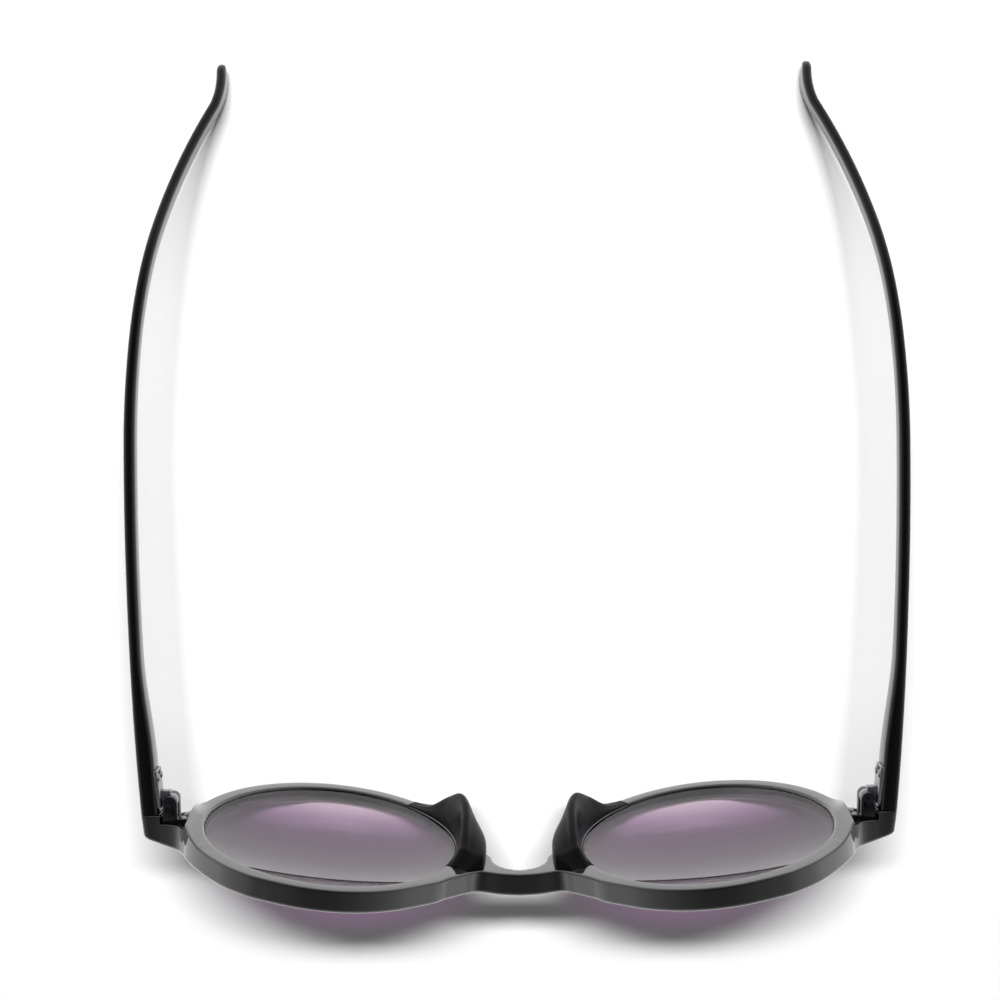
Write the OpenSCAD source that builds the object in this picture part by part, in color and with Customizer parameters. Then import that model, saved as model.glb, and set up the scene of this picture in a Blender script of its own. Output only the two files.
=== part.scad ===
// Round bifocal reading sunglasses, open, standing on the rims and the temple tips.
// Millimetres. X across (+X is the wearer's left), Y towards the ears, Z up from the table.

/* [Rims] */
// Distance between the two lens centres
lens_spacing = 70.6; // [69:0.2:73]
// Radius of the round opening in a rim
opening_radius = 23.4; // [22.8:0.1:24]
// Width of the plastic ring around an opening
rim_width = 2.8; // [2.5:0.1:3.2]
// Depth of the rims and the bridge from front to back
rim_depth = 4.3; // [4:0.1:4.8]
// Rounding of the rims' front edges
edge_round = 0.8; // [0.5:0.1:1]
// Rounding of the rims' back edges
back_round = 0.4; // [0.2:0.1:0.6]
// Rounding of the rims' back edges at the lenses
inner_round = 0.6; // [0.4:0.1:0.7]
// Angle by which each rim turns back towards its temple
wrap_angle = 7.4; // [5:0.2:9]
// Angle by which the top of the front leans forward as it stands
front_tilt = 5.8; // [4:0.2:8]

/* [Bridge] */
// Height of the bridge's top edge above the lens centres
bridge_top = 10.8; // [10:0.1:12]
// Height of the bridge at its middle
bridge_height = 5.4; // [4.8:0.1:6]
// Radius of the arch over the nose
arch_radius = 6.5; // [6:0.1:7]
// Angle between the sides of the nose opening and the vertical
flank_angle = 26; // [24:1:28]
// Radius of the bridge's forward bow, seen from above
bridge_bow = 70; // [60:1:80]
// Width of the slope under the back edge of the bridge
bridge_slope = 3; // [2:0.1:3.4]

/* [Lenses] */
// Thickness of a lens at its middle
lens_thickness = 2; // [1.8:0.1:2.2]
// Radius of the hollow back face of a lens
lens_back_radius = 92; // [86:1:102]
// How far the ridge around a lens stands out of its edge
ridge_height = 0.7; // [0.5:0.05:0.8]
// Gap between a lens and its rim
lens_play = 0.05; // [0.03:0.01:0.1]
// Radius of the reading segment
segment_radius = 12.5; // [11:0.5:14]
// Distance from a lens centre down to the segment's straight top
segment_drop = 8; // [6:0.5:10]
// Distance from the segment's straight top down to its round centre
segment_depth = 4; // [3:0.5:5]
// How far the segment is set towards the nose
segment_inset = 3; // [2:0.5:4]
// How far the segment stands out of the lens front
segment_step = 0.35; // [0.2:0.05:0.5]

/* [Nose pads] */
// Greatest height of a nose pad above the back of the rim
pad_height = 6.6; // [5:0.1:7.5]
// Gap for the cement under a nose pad
pad_glue = 0.05; // [0.03:0.01:0.1]

/* [Temples] */
// Distance from the middle to a temple's outer face at the hinge
half_width = 69.3; // [68.6:0.1:70.5]
// Height of a temple at the hinge
butt_height = 5.8; // [5.4:0.1:6.2]
// Height of a temple along its middle
arm_height = 4; // [3.6:0.1:4.6]
// Height of a temple at its tip
tip_height = 5.2; // [4.6:0.1:5.8]
// Thickness of a temple at the hinge
butt_thickness = 3.2; // [3:0.1:3.5]
// Thickness of a temple along its middle
arm_thickness = 2.1; // [1.9:0.1:2.4]
// Thickness of a temple at its tip
tip_thickness = 1.8; // [1.6:0.1:2.1]
// Length of a temple, measured along Y from its front end to the middle of its round tip
temple_reach = 135.8; // [130:0.2:140]
// Angle by which the temples part as they leave the hinges
parting_angle = 5.1; // [4:0.1:6]
// Angle by which the temples drop from the hinges
drop_angle = 4; // [3:0.1:5]
// Distance from a temple's front end to its ear bend
bend_start = 87.3; // [84:0.1:90]
// Radius of the ear bend
bend_radius = 50; // [46:1:56]
// Angle of the ear end below the horizontal
ear_angle = 28; // [25:0.5:31]
// Gap between a temple's front end and the front
butt_gap = 0.1; // [0.05:0.01:0.2]

/* [Core wires] */
// Thickness of the flat wire
wire_thickness = 0.8; // [0.6:0.1:1]
// Height of the flat wire
wire_height = 1.4; // [1:0.1:1.5]
// Distance from a temple's front end to the start of its wire
wire_start = 1.2; // [0.8:0.1:3]
// Distance from a temple's front end to the end of its wire
wire_end = 120; // [100:1:126]
// Gap around the wire
wire_play = 0.03; // [0.02:0.01:0.05]

/* [Hinges] */
// Distance from the front's butt face back to the hinge axis
axis_back = 2.1; // [1.9:0.1:2.4]
// Distance from a temple's inner face to the hinge axis
axis_in = 2.05; // [1.9:0.05:2.3]
// Radius of a hinge knuckle
knuckle_radius = 1.3; // [1.2:0.05:1.4]
// Height of the three knuckles together
knuckle_stack = 5; // [4.8:0.1:5.4]
// Height of the middle knuckle
middle_knuckle = 1.6; // [1.4:0.1:1.8]
// Gap above and below the middle knuckle
knuckle_gap = 0.04; // [0.02:0.01:0.08]
// Thickness of the front leaf
front_leaf_thickness = 0.8; // [0.7:0.05:0.9]
// Height of the front leaf
front_leaf_height = 4.6; // [4.4:0.1:5]
// Width of the front leaf
front_leaf_width = 4.8; // [4.6:0.1:5]
// Depth of the front leaf below the front's butt face
front_leaf_sink = 0.8; // [0.6:0.05:1]
// Thickness of the temple leaf
temple_leaf_thickness = 0.7; // [0.6:0.05:0.8]
// Length of the temple leaf
temple_leaf_length = 7; // [6.6:0.1:8]
// Height of the temple leaf
temple_leaf_height = 4.5; // [4.3:0.1:4.8]
// Depth to which the temple leaf is let into the temple
leaf_seat = 0.15; // [0.1:0.05:0.25]
// Gap around the parts that are let in
fit_gap = 0.02; // [0.01:0.01:0.04]

/* [Screws and rivets] */
// Radius of a hinge screw
screw_radius = 0.62; // [0.5:0.02:0.7]
// Gap between a hinge screw and the knuckles around it
screw_play = 0.04; // [0.02:0.01:0.08]
// Radius of a screw head
screw_head_radius = 1.1; // [1:0.05:1.2]
// Height of a screw head
screw_head_height = 0.5; // [0.4:0.05:0.6]
// Radius of a rivet
rivet_radius = 0.5; // [0.4:0.05:0.55]
// Radius of a rivet head
rivet_head_radius = 0.8; // [0.7:0.05:0.85]
// Height of a rivet head
rivet_head_height = 0.25; // [0.2:0.05:0.35]
// Depth to which the rivets go into the plastic
rivet_depth = 1.1; // [0.9:0.1:1.3]
// Height of a rivet above or below the middle of its leaf
rivet_spread = 1.4; // [1.3:0.05:1.45]

/* [Hidden] */
$fn = 96;
lens_x = lens_spacing / 2;
rim_radius = opening_radius + rim_width;
half_depth = rim_depth / 2;
// The front edges of the rim bottoms touch the table at Z = 0.
lens_z = rim_radius * cos(front_tilt) + (half_depth - edge_round) * sin(front_tilt);
// Points along the curved corners and faces of a section
round_steps = 6;
// The shoulders and the bridge lie this far inside the rims' faces.
skin = 0.03;
// The shoulders and the bridge end this far inside the rims' outer edges.
rim_lap = 1;
// Solids that only cut or only bound others reach at least this far.
far = 60;

// Lens section, as depths from the middle of the rim
lens_back_edge = half_depth - inner_round + lens_play;
ridge_depth = lens_back_edge - lens_thickness / 2;
lens_edge_radius = opening_radius - 2 * lens_play;
lens_back_apex = lens_back_edge - lens_back_radius + sqrt(pow(lens_back_radius, 2) - pow(lens_edge_radius, 2));
lens_front_radius = lens_back_radius + lens_thickness;
lens_middle = lens_back_apex + lens_back_radius;
segment_rim_gap = 0.9;
groove_half = 1.1;

// Bridge: the forward bow is tangent to both rims.
bow_half = bridge_bow * sin(wrap_angle);
bow_front = (bow_half - lens_x) * tan(wrap_angle) - bridge_bow * (1 - cos(wrap_angle));
arch_z = bridge_top - bridge_height - arch_radius;

// Temple plan: the outer face turns in by arcs that end at these distances from the front end.
front_arc_end = 67.7;
middle_arc_end = 97.3;
rear_arc_end = 129.5;
tip_arc_end = 136;
front_arc_radius = 668;
middle_arc_radius = 183;
rear_arc_radius = 110;
// The tips turn out again.
tip_arc_radius = -13;
temple_step = 3;
tip_steps = 8;

butt_y = 7.3;
temple_y = butt_y + butt_gap;
// The round temple tips touch the table at Z = 0.
hinge_z = tip_height / 2 + side_drop(temple_reach);
axis_x = half_width - butt_thickness - axis_in;
axis_y = butt_y + axis_back;
knuckle_hole = screw_radius + screw_play;
rivet_hole = rivet_radius + fit_gap;
end_knuckle = (knuckle_stack - middle_knuckle) / 2 - knuckle_gap;
// The leaf reaches this far past the knuckles.
leaf_margin = 0.35;
front_leaf_x = axis_x + knuckle_radius + leaf_margin - front_leaf_width;
front_leaf_back = butt_y - front_leaf_sink;
front_seat_y = front_leaf_back - front_leaf_thickness;
front_rivet_x = front_leaf_x + rivet_head_radius + 0.1;
temple_leaf_y = 1;
temple_rivet_y = temple_leaf_y + temple_leaf_length - rivet_head_radius - 0.6;

// Endpiece
endpiece_z = (hinge_z - lens_z) * cos(front_tilt) - butt_y * sin(front_tilt);
turn_start = half_width - 8;
turn_radius = 25;
ramp_start = turn_start - 4.8;
ramp_radius = 5.8;

// The glasses are centred on Y = 0 between the bridge and the temple tips.
front_end = (bow_front - half_depth) * cos(front_tilt) - bridge_top * sin(front_tilt);
rear_end = temple_y + temple_reach + tip_height / 2;
centre_y = (front_end + rear_end) / 2;

// Nose pad stations by angle below the nasal side of the rim: height as a share, and how far its crest
// and its foot on the nose side lie from the opening
pad_first_angle = -16;
pad_last_angle = 55;
pad_heights = [0.42, 0.62, 0.78, 0.9, 0.97, 0.92, 0.57, 0.16, 0.03];
pad_crests = [2.2, 1.6, 1.3, 1.6, 2.2, 2.9, 3.4, 3.6, 3];
pad_noses = [6.3, 5.9, 5.5, 5.1, 4.5, 3.9, 3.6, 3.2, 2.8];
pad_steps = 3;
// The pads start this far from the opening.
pad_margin = 0.15;
pad_least = 0.2;
// Height of the steep foot of a pad on the nose side
pad_foot = 2.4;

function ease(t) = let (c = max(0, min(1, t))) c * c * (3 - 2 * c);
function blend(a, b, t) = a + (b - a) * ease(t);

// A smooth line through points or plain numbers
function spline(p, steps) = [
  for (i = [0 : len(p) - 2], j = [0 : steps - 1])
    let (t = j / steps, a = p[max(i - 1, 0)], b = p[i], c = p[i + 1], d = p[min(i + 2, len(p) - 1)])
    0.5 * (2 * b + (c - a) * t + (2 * a - 5 * b + 4 * c - d) * t * t + (3 * b - a - 3 * c + d) * t * t * t),
  p[len(p) - 1]
];

// A point beside the rim, as seen from the front, by its angle above the temple side of the lens
function beside_rim(angle, out) = [
  lens_x + (rim_radius + out) * cos(angle) * cos(wrap_angle),
  (rim_radius + out) * sin(angle)
];

// How far an arc moves sideways over a run, from the sine of the angle at which it starts
function arc_shift(sine, run, radius) = radius * (sqrt(1 - sine * sine) - sqrt(1 - pow(sine + run / radius, 2)));

// Temple plan, by the distance from the front end
function front_run(y) = min(y, front_arc_end);
function middle_run(y) = max(0, min(y, middle_arc_end) - front_arc_end);
function rear_run(y) = max(0, min(y, rear_arc_end) - middle_arc_end);
function tip_run(y) = max(0, min(y, tip_arc_end) - rear_arc_end);
function sine_1(y) = -sin(parting_angle) + front_run(y) / front_arc_radius;
function sine_2(y) = sine_1(y) + middle_run(y) / middle_arc_radius;
function sine_3(y) = sine_2(y) + rear_run(y) / rear_arc_radius;
function plan_sine(y) = sine_3(y) + tip_run(y) / tip_arc_radius;
function outer_x(y) = half_width
  - arc_shift(-sin(parting_angle), front_run(y), front_arc_radius)
  - arc_shift(sine_1(y), middle_run(y), middle_arc_radius)
  - arc_shift(sine_2(y), rear_run(y), rear_arc_radius)
  - arc_shift(sine_3(y), tip_run(y), tip_arc_radius)
  - max(0, y - tip_arc_end) * tan(asin(plan_sine(y)));
function thickness(y) = blend(blend(butt_thickness, arm_thickness, (y - 9) / 20), tip_thickness, (y - 60) / 60);
function inside_x(y, depth) = outer_x(y) - depth / cos(asin(plan_sine(y)));

// Temple side view, by the same distance
function bend_run(y) = max(0, min(y - bend_start, bend_radius * (sin(ear_angle) - sin(drop_angle))));
function side_sine(y) = sin(drop_angle) + bend_run(y) / bend_radius;
function side_drop(y) = min(y, bend_start) * tan(drop_angle)
  + arc_shift(sin(drop_angle), bend_run(y), bend_radius)
  + max(0, y - bend_start - bend_run(y)) * tan(asin(side_sine(y)));
function height(y) = blend(blend(butt_height, arm_height, y / 45), tip_height, (y - 80) / 45);
function beside_side(y, out) = [y + out * side_sine(y), -side_drop(y) + out * cos(asin(side_sine(y)))];

// Stations along a temple, closer together where the tip turns out
function steps_to(first, last) = let (n = ceil((min(last, rear_arc_end) - first) / temple_step))
  concat(
    [for (i = [0 : n]) first + (min(last, rear_arc_end) - first) * i / n],
    last > rear_arc_end ? [for (i = [1 : tip_steps]) rear_arc_end + (last - rear_arc_end) * i / tip_steps] : []
  );
function backwards(list) = [for (i = [len(list) - 1 : -1 : 0]) list[i]];

module layout() { translate([0, -centre_y, 0]) children(); }
module in_front() { layout() translate([0, 0, lens_z]) rotate([front_tilt, 0, 0]) children(); }
module at_lens() { in_front() translate([lens_x, 0, 0]) rotate([0, 0, wrap_angle]) children(); }
module at_hinge() { layout() translate([axis_x, axis_y, hinge_z]) children(); }
module at_temple_face() {
  layout() translate([half_width - butt_thickness, temple_y, hinge_z]) rotate([0, 0, -parting_angle]) children();
}
module on_side(side) { mirror([side < 0 ? 1 : 0, 0, 0]) children(); }
module on_both_sides() { for (side = [-1, 1]) on_side(side) children(); }

// Turns a section drawn as radius and depth around the lens axis
module around_lens() { rotate([-90, 0, 0]) rotate_extrude($fn = 180) children(); }
// Extrudes a front view through the whole depth
module through_front() { translate([0, far, 0]) rotate([90, 0, 0]) linear_extrude(height = 2 * far) children(); }
// Extrudes a plan over the whole height
module over_height() { translate([0, 0, -far]) linear_extrude(height = 2 * far) children(); }

// The points of a section's rounded corner, from the angle at which its quarter turn starts
function corner(centre, radius, start) = [for (i = [0 : round_steps])
  let (a = start + 90 * i / round_steps) centre + radius * [cos(a), sin(a)]];

module rim() {
  inner = opening_radius;
  outer = rim_radius;
  around_lens() difference() {
    polygon(concat(
      corner([inner + edge_round, edge_round - half_depth], edge_round, 180),
      corner([outer - edge_round, edge_round - half_depth], edge_round, 270),
      corner([outer - back_round, half_depth - back_round], back_round, 0),
      corner([inner + inner_round, half_depth - inner_round], inner_round, 90)
    ));
    // V groove for the lens ridge, a little wider than the ridge
    polygon([
      [inner - 1, ridge_depth - ridge_height - groove_half],
      [inner + ridge_height, ridge_depth],
      [inner - 1, ridge_depth + ridge_height + groove_half]
    ]);
  }
}

// The plan of the bridge between the rims, bowed forward
function bow_depth(x) = abs(x) < bow_half
  ? bow_front + bridge_bow - sqrt(bridge_bow * bridge_bow - x * x)
  : (abs(x) - lens_x) * tan(wrap_angle);
function bow_cosine(x) = abs(x) < bow_half ? sqrt(1 - pow(x / bridge_bow, 2)) : cos(wrap_angle);

module bridge_plan() {
  reach = lens_x - 12;
  xs = concat([-reach], [for (i = [-8 : 8]) bow_half * i / 8], [reach]);
  half = half_depth - skin;
  polygon(concat(
    [for (x = xs) [x, bow_depth(x) - half / bow_cosine(x)]],
    backwards([for (x = xs) [x, bow_depth(x) + half / bow_cosine(x)]])
  ));
}

module bridge_outline() {
  // Top edge from the middle to where it runs into the rim
  top = spline([
    [0, bridge_top], [3.6, bridge_top - 0.3], [7.2, bridge_top - 0.85], [9.1, bridge_top + 0.35],
    [10.9, bridge_top + 2], beside_rim(146.5, 0.75), beside_rim(141, 0.6), beside_rim(134, 0.1)
  ], 5);
  arch = [for (a = [90 : -8 : flank_angle]) [0, arch_z] + arch_radius * [cos(a), sin(a)]];
  arch_end = [0, arch_z] + arch_radius * [cos(flank_angle), sin(flank_angle)];
  flank_end_z = -rim_radius / 2;
  flank_end = [arch_end[0] + (arch_end[1] - flank_end_z) * tan(flank_angle), flank_end_z];
  half = concat(top, [[lens_x - 14, 12], [lens_x - 14, -10], flank_end], [arch_end], backwards(arch));
  polygon(half);
  mirror([1, 0]) polygon(half);
}

module bridge() {
  difference() {
    intersection() {
      through_front() bridge_outline();
      over_height() bridge_plan();
    }
    // Slope under the back edge
    translate([0, bow_front + half_depth - bridge_slope, arch_z + arch_radius - bridge_slope + 0.5])
      rotate([-90, 0, 0]) cylinder(h = 2 * bridge_slope, r1 = bridge_slope - 0.5, r2 = 3 * bridge_slope - 0.5);
  }
}

// The plan of an endpiece: it leaves the rim and turns back towards the hinge. Its back rises to the hinge
// in a hollow ramp, or steeply on the shoulder below it.
module endpiece_plan(ramp) {
  half = (half_depth - skin) / cos(wrap_angle);
  start = lens_x + 6;
  front = (turn_start - lens_x) * tan(wrap_angle) - half;
  polygon(concat(
    [[start, (start - lens_x) * tan(wrap_angle) - half]],
    [for (i = [0 : 8]) let (run = i * 1.5)
      [turn_start + run, front + arc_shift(sin(wrap_angle), run, turn_radius)]],
    [[turn_start + 12, butt_y + 4]],
    ramp
      ? [for (i = [round_steps : -1 : 0]) let (run = ramp_radius * sin(75 * i / round_steps), x = ramp_start + run)
          [x, (x - lens_x) * tan(wrap_angle) + half + arc_shift(0, run, ramp_radius)]]
      : [[turn_start + 1.2, butt_y + 4], [turn_start, front + 2 * half]],
    [[start, (start - lens_x) * tan(wrap_angle) + half]]
  ));
}

module endpiece_outline() {
  top = endpiece_z + butt_height / 2;
  bottom = endpiece_z - butt_height / 2;
  upper = spline([
    beside_rim(72, -0.1), beside_rim(61, 0.45), beside_rim(50, 0.6), beside_rim(40, 0.6), beside_rim(31, 0.85),
    beside_rim(24, 1.15), beside_rim(19, 1.3), [half_width - 6.4, top + 1.25], [half_width - 3.7, top + 0.3],
    [half_width - 1.3, top + 0.05], [half_width + 7, top - 0.2]
  ], 5);
  lower = spline([
    [half_width + 7, bottom + 0.2], [half_width - 1.3, bottom], [half_width - 3.9, bottom - 0.5],
    [half_width - 6.1, bottom - 2.2], beside_rim(-12, 0.6), beside_rim(-18, 0.1), beside_rim(-24, -0.2)
  ], 5);
  inside = [for (a = [-24 : 12 : 72]) beside_rim(a, -rim_width)];
  polygon(concat(upper, lower, inside));
}

module endpiece() {
  intersection() {
    in_front() through_front() endpiece_outline();
    in_front() {
      over_height() endpiece_plan(false);
      translate([0, 0, endpiece_z - butt_height / 2]) linear_extrude(height = far) endpiece_plan(true);
    }
    // Butt face and outer face, in line with the temple
    layout() linear_extrude(height = far) polygon([
      [lens_x, -20], [half_width - (20 + butt_y) * tan(parting_angle), -20], [half_width, butt_y], [lens_x, butt_y]
    ]);
  }
}

module front_frame() {
  color([0.03, 0.03, 0.035]) difference() {
    union() {
      on_both_sides() at_lens() rim();
      difference() {
        union() {
          in_front() bridge();
          on_both_sides() endpiece();
        }
        on_both_sides() at_lens() rotate([-90, 0, 0])
          cylinder(h = 2 * far, r = rim_radius - rim_lap, center = true, $fn = 180);
      }
    }
    on_both_sides() {
      // Pocket of the front leaf
      layout() translate([front_leaf_x - fit_gap, front_seat_y, 0])
        cube([front_leaf_width + 2 * fit_gap, far, far]);
      front_rivet_places() cylinder(h = 2 * rivet_depth, r = rivet_hole, center = true);
    }
  }
}

module lens() {
  around_lens() intersection() {
    difference() {
      translate([0, lens_middle]) circle(lens_front_radius, $fn = 360);
      translate([0, lens_middle]) circle(lens_back_radius, $fn = 360);
    }
    polygon([
      [0, -10], [lens_edge_radius, -10], [lens_edge_radius, ridge_depth - ridge_height],
      [lens_edge_radius + ridge_height, ridge_depth], [lens_edge_radius, ridge_depth + ridge_height],
      [lens_edge_radius, 10], [0, 10]
    ]);
  }
}

module segment() {
  intersection() {
    around_lens() intersection() {
      difference() {
        translate([0, lens_middle]) circle(lens_front_radius + segment_step, $fn = 360);
        translate([0, lens_middle]) circle(lens_front_radius - lens_thickness / 2, $fn = 360);
      }
      translate([0, -15]) square([lens_edge_radius - segment_rim_gap, 20]);
    }
    through_front() intersection() {
      translate([-segment_inset, -segment_drop - segment_depth]) circle(segment_radius);
      translate([-30, -segment_drop - 40]) square([60, 40]);
    }
  }
}

module left_lens() {
  color([0.25, 0.2, 0.26, 0.5]) at_lens() {
    lens();
    segment();
  }
}
module right_lens() { on_side(-1) left_lens(); }

// Depth of the rim's back at a distance from the opening
function rim_back(out) = half_depth - inner_round + sqrt(pow(inner_round, 2) - pow(max(0, inner_round - out), 2));

// A section is drawn as distance from the opening and height above the rim's back.
module left_nose_pad() {
  angles = let (n = (len(pad_heights) - 1) * pad_steps)
    [for (i = [0 : n]) pad_first_angle + (pad_last_angle - pad_first_angle) * i / n];
  heights = spline(pad_heights, pad_steps);
  crests = spline(pad_crests, pad_steps);
  noses = spline(pad_noses, pad_steps);
  sections = [for (i = [0 : len(angles) - 1])
    let (
      nose = noses[i],
      crest = crests[i],
      rise = max(pad_least, pad_height * heights[i]),
      foot = min(pad_foot, 0.75 * rise),
      base = [for (out = [pad_margin, inner_round / 2, inner_round]) [out, rim_back(out) - half_depth]]
    ) concat(base, [
      [rim_width - back_round, 0],
      [nose, 0],
      [nose - 0.15 * foot, foot],
      [(nose + crest + 1.2) / 2, foot + 0.5 * (0.85 * rise - foot)],
      [crest + 1.2, 0.85 * rise],
      [crest + 0.5, 0.98 * rise],
      [crest - 0.2, rise],
      [crest - 0.8, 0.88 * rise],
      [pad_margin + 0.6 * max(0, crest - 1 - pad_margin), 0.45 * rise]
    ])
  ];
  count = len(sections[0]);
  points = [for (i = [0 : len(angles) - 1], p = sections[i])
    let (r = opening_radius + p[0])
    [-r * cos(angles[i]), half_depth + pad_glue + p[1], -r * sin(angles[i])]];
  ends = [[for (k = [0 : count - 1]) k], [for (k = [count - 1 : -1 : 0]) (len(angles) - 1) * count + k]];
  walls = [for (i = [0 : len(angles) - 2], k = [0 : count - 1])
    let (a = i * count + k, b = i * count + (k + 1) % count) each [[a, a + count, b], [b, a + count, b + count]]];
  color([0.05, 0.05, 0.055]) at_lens() polyhedron(points = points, faces = concat(ends, walls), convexity = 4);
}
module right_nose_pad() { on_side(-1) left_nose_pad(); }

// A band along the temple: between two depths from the outer face, and between two side outlines
module along_temple(depth_from, depth_to, first, last, side_points) {
  ys = steps_to(first, last);
  layout() translate([0, temple_y, 0]) intersection() {
    over_height() polygon(concat(
      [for (y = ys) [inside_x(y, depth_from[0] + depth_from[1] * thickness(y)), y]],
      backwards([for (y = ys) [inside_x(y, depth_to[0] + depth_to[1] * thickness(y)), y]])
    ));
    translate([0, 0, hinge_z]) rotate([90, 0, 90]) linear_extrude(height = 2 * half_width) polygon(side_points);
  }
}

module temple_blank() {
  ys = steps_to(0, temple_reach);
  tip = beside_side(temple_reach, 0);
  tip_angle = asin(side_sine(temple_reach));
  along_temple([0, 0], [0, 1], 0, temple_reach + tip_height, concat(
    [[0, -height(0) / 2]],
    [for (y = ys) if (y > 0) beside_side(y, -height(y) / 2)],
    [for (a = [-75 : 15 : 75]) tip + tip_height / 2 * [cos(a - tip_angle), sin(a - tip_angle)]],
    backwards([for (y = ys) if (y > 0) beside_side(y, height(y) / 2)]),
    [[0, height(0) / 2]]
  ));
}

// The flat wire, or with play its channel from the temple's front end
module wire_shape(first, last, play) {
  half = wire_height / 2 + play;
  ys = steps_to(first, last);
  along_temple([-wire_thickness / 2 - play, 0.5], [wire_thickness / 2 + play, 0.5], first, last, concat(
    [for (y = ys) beside_side(y, -half)], backwards([for (y = ys) beside_side(y, half)])
  ));
}

module left_temple() {
  color([0.03, 0.03, 0.035]) difference() {
    temple_blank();
    wire_shape(-1, wire_end + wire_play, wire_play);
    at_temple_face() translate([-1, temple_leaf_y - fit_gap, -temple_leaf_height / 2 - fit_gap])
      cube([1 + leaf_seat, temple_leaf_length + 2 * fit_gap, temple_leaf_height + 2 * fit_gap]);
    temple_rivet_places() cylinder(h = 2 * rivet_depth, r = rivet_hole, center = true);
  }
}
module right_temple() { on_side(-1) left_temple(); }

module left_core_wire() { color([0.7, 0.7, 0.72]) wire_shape(wire_start, wire_end, 0); }
module right_core_wire() { on_side(-1) left_core_wire(); }

module knuckle_bore() { cylinder(h = 20, r = knuckle_hole, center = true); }

module left_front_hinge() {
  web = axis_back + front_leaf_sink + front_leaf_thickness / 2;
  color([0.62, 0.62, 0.64]) difference() {
    union() {
      layout() translate([front_leaf_x, front_seat_y, hinge_z - front_leaf_height / 2])
        cube([front_leaf_width, front_leaf_thickness, front_leaf_height]);
      at_hinge() for (z = [-knuckle_stack / 2, knuckle_stack / 2 - end_knuckle]) translate([0, 0, z]) {
        cylinder(h = end_knuckle, r = knuckle_radius);
        translate([-knuckle_radius, -web, 0]) cube([2 * knuckle_radius, web, end_knuckle]);
      }
    }
    at_hinge() knuckle_bore();
    front_rivet_places() cylinder(h = 4, r = rivet_hole, center = true);
  }
}
module right_front_hinge() { on_side(-1) left_front_hinge(); }

module left_temple_hinge() {
  leaf_out = temple_leaf_thickness - leaf_seat;
  color([0.68, 0.68, 0.7]) difference() {
    union() {
      at_temple_face() translate([-leaf_out, temple_leaf_y, -temple_leaf_height / 2])
        cube([temple_leaf_thickness, temple_leaf_length, temple_leaf_height]);
      at_hinge() {
        cylinder(h = middle_knuckle, r = knuckle_radius, center = true);
        translate([0, -0.7, -middle_knuckle / 2])
          cube([axis_in - leaf_out / 2, 2.7, middle_knuckle]);
      }
    }
    at_hinge() knuckle_bore();
    temple_rivet_places() cylinder(h = 4, r = rivet_hole, center = true);
  }
}
module right_temple_hinge() { on_side(-1) left_temple_hinge(); }

// The screw comes from below, so its head is under the lowest knuckle.
module left_hinge_screw() {
  end = knuckle_stack / 2;
  rim = screw_head_height * 0.6;
  slot = 0.3;
  color([0.5, 0.5, 0.52]) at_hinge() mirror([0, 0, 1]) difference() {
    union() {
      translate([0, 0, -end]) cylinder(h = knuckle_stack + rim / 2, r = screw_radius);
      translate([0, 0, end]) cylinder(h = rim, r = screw_head_radius);
      translate([0, 0, end + rim])
        cylinder(h = screw_head_height - rim, r1 = screw_head_radius, r2 = screw_head_radius * 0.7);
    }
    translate([0, 0, end + screw_head_height]) cube([3 * screw_head_radius, slot, 2 * slot], center = true);
  }
}
module right_hinge_screw() { on_side(-1) left_hinge_screw(); }

// Rivet places have their Z axis out of the leaf, with Z = 0 where the leaf meets the plastic.
module front_rivet_places() {
  for (z = [-rivet_spread, rivet_spread])
    layout() translate([front_rivet_x, front_seat_y, hinge_z + z]) rotate([-90, 0, 0]) children();
}
module temple_rivet_places() {
  for (z = [-rivet_spread, rivet_spread])
    at_temple_face() translate([leaf_seat, temple_rivet_y, z]) rotate([0, -90, 0]) children();
}

module rivet(leaf) {
  translate([0, 0, 0.1 - rivet_depth]) cylinder(h = rivet_depth - 0.1 + leaf, r = rivet_radius);
  translate([0, 0, leaf]) cylinder(h = rivet_head_height, r1 = rivet_head_radius, r2 = rivet_head_radius * 0.6);
}

module left_front_rivets() { color([0.6, 0.6, 0.62]) front_rivet_places() rivet(front_leaf_thickness); }
module right_front_rivets() { on_side(-1) left_front_rivets(); }
module left_temple_rivets() { color([0.6, 0.6, 0.62]) temple_rivet_places() rivet(temple_leaf_thickness); }
module right_temple_rivets() { on_side(-1) left_temple_rivets(); }

front_frame();
right_lens();
left_lens();
right_nose_pad();
left_nose_pad();
right_temple();
left_temple();
right_core_wire();
left_core_wire();
right_front_hinge();
left_front_hinge();
right_temple_hinge();
left_temple_hinge();
right_hinge_screw();
left_hinge_screw();
right_front_rivets();
left_front_rivets();
right_temple_rivets();
left_temple_rivets();
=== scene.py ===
"""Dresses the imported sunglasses: rounded plastic, tinted lenses, riveted hinges and a white stage."""

import math

import bmesh
import bpy
from bpy.props import FloatProperty, FloatVectorProperty, PointerProperty
from mathutils import Matrix, Vector
from mathutils.geometry import delaunay_2d_cdt

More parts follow.
